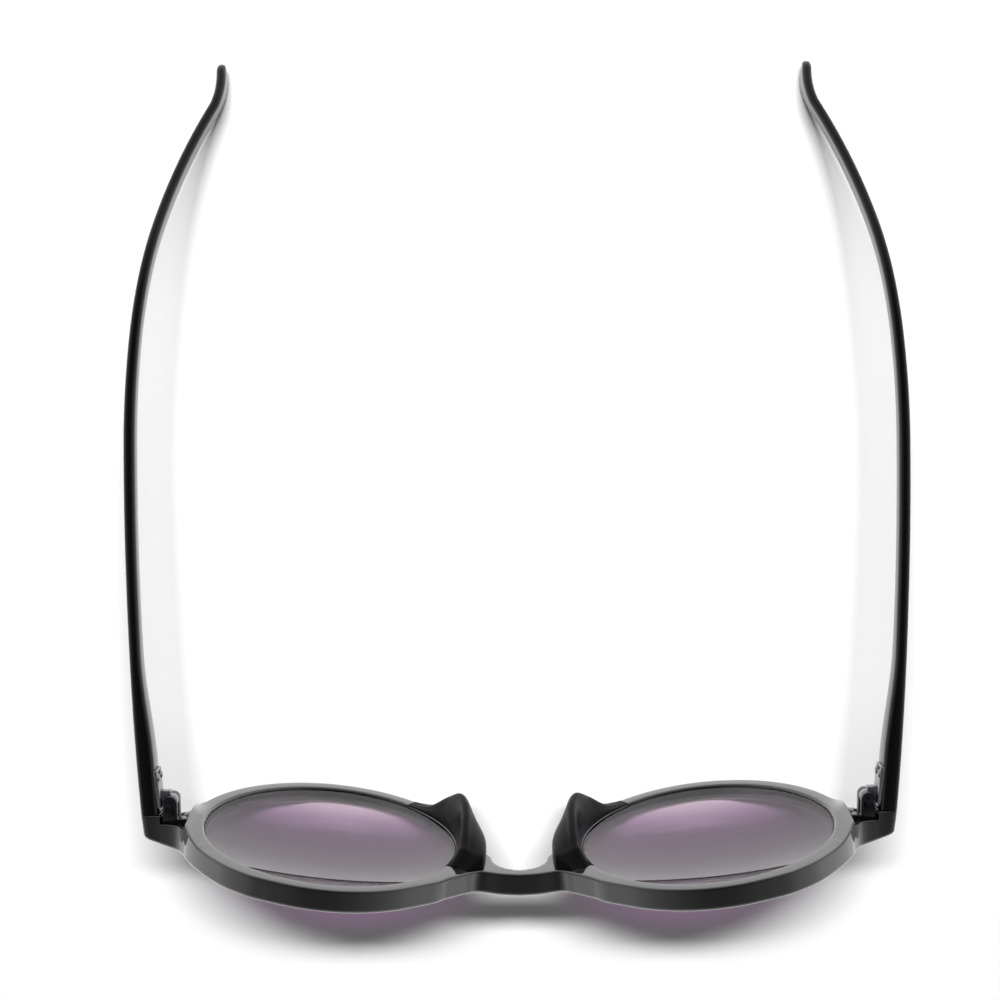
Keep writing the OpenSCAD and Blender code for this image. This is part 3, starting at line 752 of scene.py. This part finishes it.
def face_places(g, outer, hole):
    """Points and triangles of one flat face of the front, and which points lie on its two edges."""
    centre = Vector((g.lens_s, 0))
    flat = list(outer) + list(hole)
    first = len(outer)
    count = len(hole)
    edges = [(i, i + 1) for i in range(first - 1)]
    edges += [(first + i, first + (i + 1) % count) for i in range(count)]
    # The seam in the middle of the bridge, where the two halves of the front meet
    seam = [Vector((0, outer[0].y + (outer[-1].y - outer[0].y) * i / 8)) for i in range(1, 8)]
    chain = [0] + list(range(len(flat), len(flat) + len(seam))) + [first - 1]
    edges += list(zip(chain, chain[1:]))
    flat += seam

    # Spare points follow the slope, fill the bridge, follow the ramp and pocket, and ring the opening.
    slope_centre = Vector((0, g.slope_v))
    quarter = [math.pi / 2 * i / 30 for i in range(31)]
    spare = []
    for out in (-0.04, 0.04, -0.5, -1, -1.6):
        reach = g.slope_radius + out
        spare += [slope_centre + reach * Vector((math.sin(a), math.cos(a))) for a in quarter]
    spare += [Vector((0.7 * i, 0.7 * j)) for i in range(26) for j in range(-20, 28)]
    ramp = [g.across(g.ramp_start) + 0.3 * i for i in range(14)]
    last = [g.end_s - 0.9 * i for i in range(1, 6)]
    columns = ramp + both_sides(g.pocket_s) + last
    spare += [Vector((s, g.end_z - 9 + 0.4 * i)) for s in columns for i in range(46)]
    for radius in (g.opening_radius + 1.4, g.rim_radius + 0.4):
        spare += [centre + radius * d for d in full_turn(180)]

    def clear(p):
        """Whether a spare point keeps its distance from the face's edges."""
        from_seam, from_hole = 0.2, 1
        if not inside(p, outer) or p.x < from_seam or (p - centre).length < g.opening_radius + from_hole:
            return False
        detailed = p.x > g.pocket_s[0] - 0.1 or (p - slope_centre).length < g.slope_radius + 0.3
        from_edge = 0.12 if detailed else 0.3
        return min((p - q).length_squared for q in outer) > from_edge ** 2

    flat += [p for p in spare if clear(p)]
    places, _, faces, origins, _, _ = delaunay_2d_cdt(flat, edges, [], 0, 1e-6)
    hole_radius = (hole[0] - centre).length - 1e-3
    kept = []
    for face in faces:
        middle = sum((places[i] for i in face), Vector((0, 0))) / len(face)
        if (middle - centre).length > hole_radius and inside(middle, outer):
            kept.append(face)
    made_from = {source: index for index, sources in enumerate(origins) for source in sources}
    ids = [made_from[i] for i in range(first + count)]
    return places, kept, ids[:first], ids[first:]


def front_shell(g):
    """The left half of the front."""
    shell = Shell()

    def row(places):
        """A row from places of the flat layout with their depths."""
        return shell.row([g.front_point(q.x, q.y, depth) for q, depth in places])

    pocket = both_sides(g.pocket_s)
    outline = crossed(resample(front_outline(g), 0.6), pocket)
    centre = Vector((g.lens_s, 0))
    around = full_turn(240)
    opening = [centre + g.opening_radius * d for d in around]
    outer = edge_rings(g, outline, (inward(outline), inward(outline, pocket)), g.edge_round, g.back_round)
    hole = edge_rings(g, opening, (around, around), g.edge_round, g.inner_round)
    walls = []
    for side in (0, 1):
        flat_outer = [q for q, _ in outer[-1][side]]
        flat_hole = [q for q, _ in hole[-1][side]]
        places, faces, outer_ids, hole_ids = face_places(g, flat_outer, flat_hole)
        depths = [g.back_depth(p.x, p.y) if side else 0.0 for p in places]
        ids = row(zip(places, depths))
        shell.faces += [tuple(ids[i] for i in (reversed(face) if side else face)) for face in faces]
        for rings, edge_ids, closed in ((outer, outer_ids, False), (hole, hole_ids, True)):
            rows = [row(ring[side]) for ring in rings[:-1]] + [[ids[i] for i in edge_ids]]
            shell.strips(rows, closed)
            walls.append(rows[0])
    # The groove leaves the lens's ridge a little room.
    groove = []
    groove_half = g.ridge_height + 0.04
    for shift, out in ((-groove_half, 0), (0, g.ridge_height + 0.05), (groove_half, 0)):
        depth = g.half + g.ridge_depth + shift
        groove.append(row([(q + d * out, depth) for q, d in zip(opening, around)]))
    shell.strip(walls[0], walls[2], False)
    shell.strips([walls[1]] + groove + [walls[3]])
    shell.drop_unused()
    return shell


class SUNGLASSES_OT_front(bpy.types.Operator):
    """Builds the plastic front with its lens grooves"""

    bl_idname = "sunglasses.front"
    bl_label = "Build front"

    def execute(self, context):
        g, colours = layout_and_colours()
        obj = front_shell(g).make("front_shell", both=True)
        obj.modifiers.new("Even shading", "WEIGHTED_NORMAL").keep_sharp = True
        material = black_plastic("Polished black plastic", colours.plastic, 0.06, 0.2, 1.0)
        seat(obj, "front", "black_plastic", material, "front_frame")
        return {"FINISHED"}


def segment_inside(g, p):
    """How far a place on a lens lies inside the reading segment's D-shaped edge."""
    return min(
        g.segment_top - p.y,
        g.segment_radius - (p - g.segment_centre).length,
        g.lens_edge - g.segment_gap - p.length,
    )


def segment_ring(g, inset):
    """A line around the reading segment, the given distance inside its edge."""
    start = Vector((g.segment_centre.x, g.segment_centre.y - 3))
    count = 160
    ring = []
    for i in range(count):
        along = heading(math.tau * (i + 0.5) / count)
        far = 3 * g.segment_radius
        reach = halving(0, far, 24, lambda out: segment_inside(g, start + out * along) > inset)
        ring.append(start + reach * along)
    return ring


def lens_shell(g):
    """A lens with a hollow back, a ridge around its edge and the raised reading segment on its front."""
    shell = Shell()
    segments = 160
    around = full_turn(segments)
    front_radius = g.lens_back_radius + g.lens_thickness
    # The segment rises over a soft edge, because a steep one turns dark at low angles.
    soft, soft_rings = 6.5, 8

    def back_depth(p):
        return g.lens_middle - math.sqrt(g.lens_back_radius ** 2 - p.length_squared)

    def front_depth(p):
        raised = g.segment_step * min(1.0, max(0.0, segment_inside(g, p) / soft))
        return g.lens_middle - math.sqrt(front_radius ** 2 - p.length_squared) - raised

    def face(inner_rings, depth, flip):
        """Makes one face of the lens and gives the numbers of its edge points."""
        flat, edges = [], []
        for ring in [[g.lens_edge * d for d in around]] + inner_rings:
            first = len(flat)
            flat += ring
            edges += [(first + i, first + (i + 1) % len(ring)) for i in range(len(ring))]
        rows = 20
        for k in range(1, rows):
            flat += [g.lens_edge * k / rows * d for d in full_turn(8 * k)]
        flat.append(Vector((0, 0)))
        places, _, faces, origins, _, _ = delaunay_2d_cdt(flat, edges, [], 0, 1e-6)
        ids = shell.row([g.at_lens(p.x, depth(p), p.y) for p in places])
        shell.faces += [tuple(ids[i] for i in (reversed(f) if flip else f)) for f in faces]
        made_from = {source: index for index, sources in enumerate(origins) for source in sources}
        return [ids[made_from[i]] for i in range(segments)]

    back = face([], back_depth, False)
    front = face([segment_ring(g, soft * k / soft_rings) for k in range(soft_rings)], front_depth, True)
    ridge = []
    for depth, out in ((g.ridge_height, 0), (0, g.ridge_height), (-g.ridge_height, 0)):
        ring = [(g.lens_edge + out) * d for d in around]
        ridge.append(shell.row([g.at_lens(p.x, g.ridge_depth + depth, p.y) for p in ring]))
    shell.strips([back] + ridge + [front])
    return shell


class SUNGLASSES_OT_lenses(bpy.types.Operator):
    """Builds the two lenses with their reading segments"""

    bl_idname = "sunglasses.lenses"
    bl_label = "Build lenses"

    def execute(self, context):
        g, colours = layout_and_colours()
        tinted = lens_tint("Tinted lens plastic", g, colours)
        for name, side in SIDES.items():
            lens = lens_shell(g).make(f"{name}_lens_body", side)
            seat(lens, "front", "lens", tinted, f"{name}_lens")
        return {"FINISHED"}


def pad_shell(g):
    """A nose pad lofted along the nasal side of a rim, through sections at even angles."""
    steps = 6
    heights = spline([0.42, 0.62, 0.78, 0.9, 0.97, 0.92, 0.57, 0.1, 0.0], steps)
    crests = spline([2.2, 1.6, 1.3, 1.6, 2.2, 2.9, 3.3, 2.6, 1.4], steps)
    noses = spline([6.3, 5.9, 5.5, 5.1, 4.5, 3.9, 3.5, 2.6, 2.2], steps)
    first_angle, last_angle = -16, 55
    margin, sink = 0.15, 0.3

    def section(height, crest, nose):
        """Places as the distance out from the opening and the height over the back of the rim."""
        rise = max(0.04, g.pad_height * height)
        foot = min(2.4, 0.75 * rise)
        visible = [
            (margin, -sink), (margin + 0.02, 0.1 * rise),
            (margin + 0.6 * max(0, crest - 1 - margin), 0.45 * rise),
            (crest - 0.8, 0.88 * rise), (crest - 0.2, rise), (crest + 0.5, 0.98 * rise),
            (crest + 1.2, 0.85 * rise), ((nose + crest + 1.2) / 2, foot + 0.5 * (0.85 * rise - foot)),
            (nose - 0.15 * foot, foot), (nose - 0.02, 0.3 * foot), (nose, 0),
        ]
        return spline([Vector(p) for p in visible], 4) + [Vector((g.rim_width - 0.6, -sink))]

    def row(degrees, outline):
        """A section at an angle around the lens."""
        a = math.radians(degrees)
        ring = []
        for p in outline:
            out = g.opening_radius + p.x
            ring.append(g.at_lens(-out * math.cos(a), g.half + p.y, -out * math.sin(a)))
        return shell.row(ring)

    shell = Shell()
    rows = []
    # The upper end slopes down to the back of the rim.
    slope_turn, slope_rows, slope_nose = 6.5, 8, 4.2
    for k in range(slope_rows):
        share = k / slope_rows
        outline = section(heights[0] * share, crests[0], blend(slope_nose, noses[0], share))
        rows.append(row(first_angle - slope_turn * (1 - share), outline))
    last = len(heights) - 1
    for i, sizes in enumerate(zip(heights, crests, noses)):
        rows.append(row(first_angle + (last_angle - first_angle) * i / last, section(*sizes)))
    shell.skin(rows)
    return shell


class SUNGLASSES_OT_nose_pads(bpy.types.Operator):
    """Builds the nose pads"""

    bl_idname = "sunglasses.nose_pads"
    bl_label = "Build nose pads"

    def execute(self, context):
        g, colours = layout_and_colours()
        material = black_plastic("Satin black pad plastic", colours.pad, 0.35, 0.4, density=1.16)
        for name, side in SIDES.items():
            pad = pad_shell(g).make(f"{name}_pad_body", side, sharp=50)
            seat(pad, "front", "nose_pad", material, f"{name}_nose_pad")
        return {"FINISHED"}


def temple_shell(g):
    """A temple swept along its bent and curved line, with rounded edges and a round tip."""
    shell = Shell()
    end_round = 0.12
    step = 1.3
    tip_turn = g.plan_arcs[-2][0]
    stations = [0.0, end_round] + [step * i for i in range(1, int(tip_turn / step))]
    stations += [tip_turn + (g.temple_reach - tip_turn) * i / 8 for i in range(9)]
    corners = 5

    def section(y, shrink_height=1, shrink_thickness=1, tuck=0):
        """Points around the temple at y, with all sides drawn in by tuck."""
        outer, plan_sine = g.plan(y)
        thick = g.thickness(y)
        plan_turn = math.asin(plan_sine)
        side_turn = math.asin(g.side_sine(y)) if y > end_round else 0.0
        centre_x = outer - thick / 2 / math.cos(plan_turn)
        centre_z = g.hinge_z - g.side_drop(y)
        half_t = (thick / 2 - tuck) * shrink_thickness
        half_h = (g.height(y) / 2 - tuck) * shrink_height
        r = min(g.temple_round, 0.9 * half_t, 0.9 * half_h)
        # Across is level and square to the plan line, up is square to the side line.
        across = Vector((math.cos(plan_turn), math.sin(plan_turn), 0))
        back = Vector((-math.sin(plan_turn), math.cos(plan_turn), 0))
        up = back * math.sin(side_turn) + Vector((0, 0, math.cos(side_turn)))
        centre = Vector((centre_x, g.butt_y + g.butt_gap + y - g.centre_y, centre_z))
        out = []
        for quarter, (sx, sz) in enumerate(((1, 1), (-1, 1), (-1, -1), (1, -1))):
            for k in range(corners + 1):
                a = math.pi / 2 * (quarter + k / corners)
                px = sx * (half_t - r) + r * math.cos(a)
                pz = sz * (half_h - r) + r * math.sin(a)
                out.append(centre + across * px + up * pz)
        return out

    rows = [shell.row(section(0, tuck=end_round))]
    rows += [shell.row(section(y)) for y in stations]
    # Round tip: the section shrinks while it moves on by half the temple's height.
    tip = g.tip_height / 2 * math.sqrt(1 - g.side_sine(g.temple_reach) ** 2)
    rings = 9
    for k in range(1, rings):
        turn = math.pi / 2 * k / (rings - 0.7)
        shrink = math.cos(turn)
        rows.append(shell.row(section(g.temple_reach + tip * math.sin(turn), shrink, shrink ** 0.5)))
    shell.skin(rows)
    return shell


class SUNGLASSES_OT_temples(bpy.types.Operator):
    """Builds the two temples and finishes the wires inside them"""

    bl_idname = "sunglasses.temples"
    bl_label = "Build temples"

    def execute(self, context):
        g, colours = layout_and_colours()
        plastic = black_plastic("Polished black temple plastic", colours.plastic, 0.06, 0.3)
        wire = hinge_metal("Core wire metal", colours.wire, 0.3, 3000)
        for name, side in SIDES.items():
            temple = temple_shell(g).make(f"{name}_temple_body", side)
            seat(temple, f"{name}_temple_arm", "black_plastic", plastic, f"{name}_temple")
            finish_node(f"{name}_core_wire", wire, 0)
        return {"FINISHED"}


def finish_node(name, material, edge):
    """Gives a CAD node its material and, where edge isn't 0, soft edges that many millimetres wide."""
    obj = frame["nodes"][name]
    obj.data.materials.clear()
    obj.data.materials.append(material)
    if edge:
        obj.modifiers.new("Joined corners", "WELD").merge_threshold = 0.002 * MM
        bevel = obj.modifiers.new("Soft edges", "BEVEL")
        bevel.width = edge * MM
        bevel.segments = 2
        bevel.limit_method = "ANGLE"
        bevel.angle_limit = math.radians(35)
        obj.data.shade_smooth()


class SUNGLASSES_OT_hinges(bpy.types.Operator):
    """Finishes the hinge leaves, screws and rivets"""

    bl_idname = "sunglasses.hinges"
    bl_label = "Finish hinges"

    def execute(self, context):
        colours = context.scene.sunglasses_colours
        dark = hinge_metal("Dark hinge metal", colours.dark_metal, 0.22, 2400)
        light = hinge_metal("Light hinge metal", colours.metal, 0.32, 2400)
        rivet = hinge_metal("Rivet metal", colours.rivet, 0.26, 4000)
        leaf, small = 0.12, 0.05
        pieces = [("front_hinge", dark, leaf), ("temple_hinge", light, leaf), ("hinge_screw", dark, small)]
        pieces += [("front_rivets", rivet, small), ("temple_rivets", rivet, small)]
        for name in SIDES:
            for piece, metal, edge in pieces:
                finish_node(f"{name}_{piece}", metal, edge)
        return {"FINISHED"}


def floor_material(shade):
    """White table that keeps the object's shadow and runs into plain white away from it."""
    finish = Finish(bpy.data.materials.new("White table"))
    grain = finish.mix(finish.noise(60, 2), shade, tuple(0.99 * c for c in shade))
    table = finish.node("ShaderNodeBsdfPrincipled", {"Base Color": grain, "Roughness": 0.6})
    glow = finish.node("ShaderNodeEmission", {"Color": WHITE})
    length_node = finish.node("ShaderNodeVectorMath", {0: finish.place()}, {"operation": "LENGTH"})
    fade_from, fade_run = 0.14, 0.3
    away = ((finish.signal(length_node.outputs["Value"]) - fade_from) / fade_run).clamped()
    camera, glossy, through = finish.rays("Camera", "Glossy", "Transmission")
    seen = (camera + glossy + through).clamped()
    return finish.output(finish.mix_shaders(seen * away, table, glow))


def white_room():
    """A world with white walls and a dark ceiling in reflections, and a dim even light elsewhere."""
    finish = Finish(bpy.data.worlds.new("White room"))
    up = finish.height_of(finish.node("ShaderNodeTexCoord").outputs["Generated"])
    ceiling = (0.03, 0.03, 0.03)
    seen = finish.node("ShaderNodeBackground", {"Color": finish.mix(up.clamped(), WHITE[:3], ceiling)})
    dim = finish.node("ShaderNodeBackground", {"Color": WHITE, "Strength": 0.12})
    return finish.output(finish.mix_shaders(*finish.rays("Diffuse"), seen, dim), "ShaderNodeOutputWorld")


def window_behind():
    """A soft lamp that lights surfaces but isn't seen in them as a bright bar."""
    data = bpy.data.lights.new("Window behind", "AREA")
    data.shape = "RECTANGLE"
    data.size, data.size_y = 0.5, 0.09
    data.energy = 17
    lamp = bpy.data.objects.new("Window behind", data)
    lamp.location = (0, 0.44, 1.1)
    lamp.rotation_euler = (-lamp.location).to_track_quat("-Z", "Y").to_euler()
    lamp.visible_glossy = False
    lamp.visible_transmission = False
    bpy.context.scene.collection.objects.link(lamp)


class SUNGLASSES_OT_stage(bpy.types.Operator):
    """Sets the table, lamp, world and camera"""

    bl_idname = "sunglasses.stage"
    bl_label = "Set stage"

    def execute(self, context):
        g, colours = layout_and_colours()
        scene = context.scene
        bm = bmesh.new()
        bmesh.ops.create_grid(bm, x_segments=8, y_segments=8, size=TABLE_HALF)
        mesh = bpy.data.meshes.new("table")
        bm.to_mesh(mesh)
        bm.free()
        table = bpy.data.objects.new("table", mesh)
        mesh.materials.append(floor_material(colours.floor))
        scene.collection.objects.link(table)

        scene.world = white_room()
        window_behind()

        # Fitted to the photo: the distance to the picture in its pixels, the place and the two turns
        focal_pixels, frame_pixels = 1942.07, 1000
        place = Vector((-3.162, 101.248 - g.centre_y, 380.0)) * MM
        pitch, roll = math.radians(-5.953), math.radians(-0.353)
        camera = bpy.data.cameras.new("Photo camera")
        camera.lens = focal_pixels * camera.sensor_width / frame_pixels
        obj = bpy.data.objects.new("Photo camera", camera)
        scene.collection.objects.link(obj)
        turn = Matrix.Rotation(pitch, 4, "X") @ Matrix.Rotation(roll, 4, "Z")
        obj.matrix_world = Matrix.Translation(place) @ turn
        scene.camera = obj
        scene.view_settings.view_transform = "Standard"
        return {"FINISHED"}


class SUNGLASSES_PT_panel(bpy.types.Panel):
    """Lists the steps and the sizes"""

    bl_idname = "SUNGLASSES_PT_panel"
    bl_label = "Sunglasses"
    bl_space_type = "VIEW_3D"
    bl_region_type = "UI"
    bl_category = "Sunglasses"

    def draw(self, context):
        column = self.layout.column(align=True)
        for operator in OPERATORS:
            column.operator(operator.bl_idname)
        for group in (context.scene.sunglasses_sizes, context.scene.sunglasses_colours):
            box = self.layout.box()
            for name in type(group).__annotations__:
                box.prop(group, name)


OPERATORS = (
    SUNGLASSES_OT_front,
    SUNGLASSES_OT_lenses,
    SUNGLASSES_OT_nose_pads,
    SUNGLASSES_OT_temples,
    SUNGLASSES_OT_hinges,
    SUNGLASSES_OT_stage,
)
CLASSES = (SunglassesSizes, SunglassesColours, *OPERATORS, SUNGLASSES_PT_panel)


def register():
    for cls in CLASSES:
        bpy.utils.register_class(cls)
    bpy.types.Scene.sunglasses_sizes = PointerProperty(type=SunglassesSizes)
    bpy.types.Scene.sunglasses_colours = PointerProperty(type=SunglassesColours)


def unregister():
    del bpy.types.Scene.sunglasses_colours
    del bpy.types.Scene.sunglasses_sizes
    for cls in reversed(CLASSES):
        bpy.utils.unregister_class(cls)


def main():
    register()
    bpy.ops.sunglasses.front()
    bpy.ops.sunglasses.lenses()
    bpy.ops.sunglasses.nose_pads()
    bpy.ops.sunglasses.temples()
    bpy.ops.sunglasses.hinges()
    bpy.ops.sunglasses.stage()


if __name__ == "__main__":
    main()
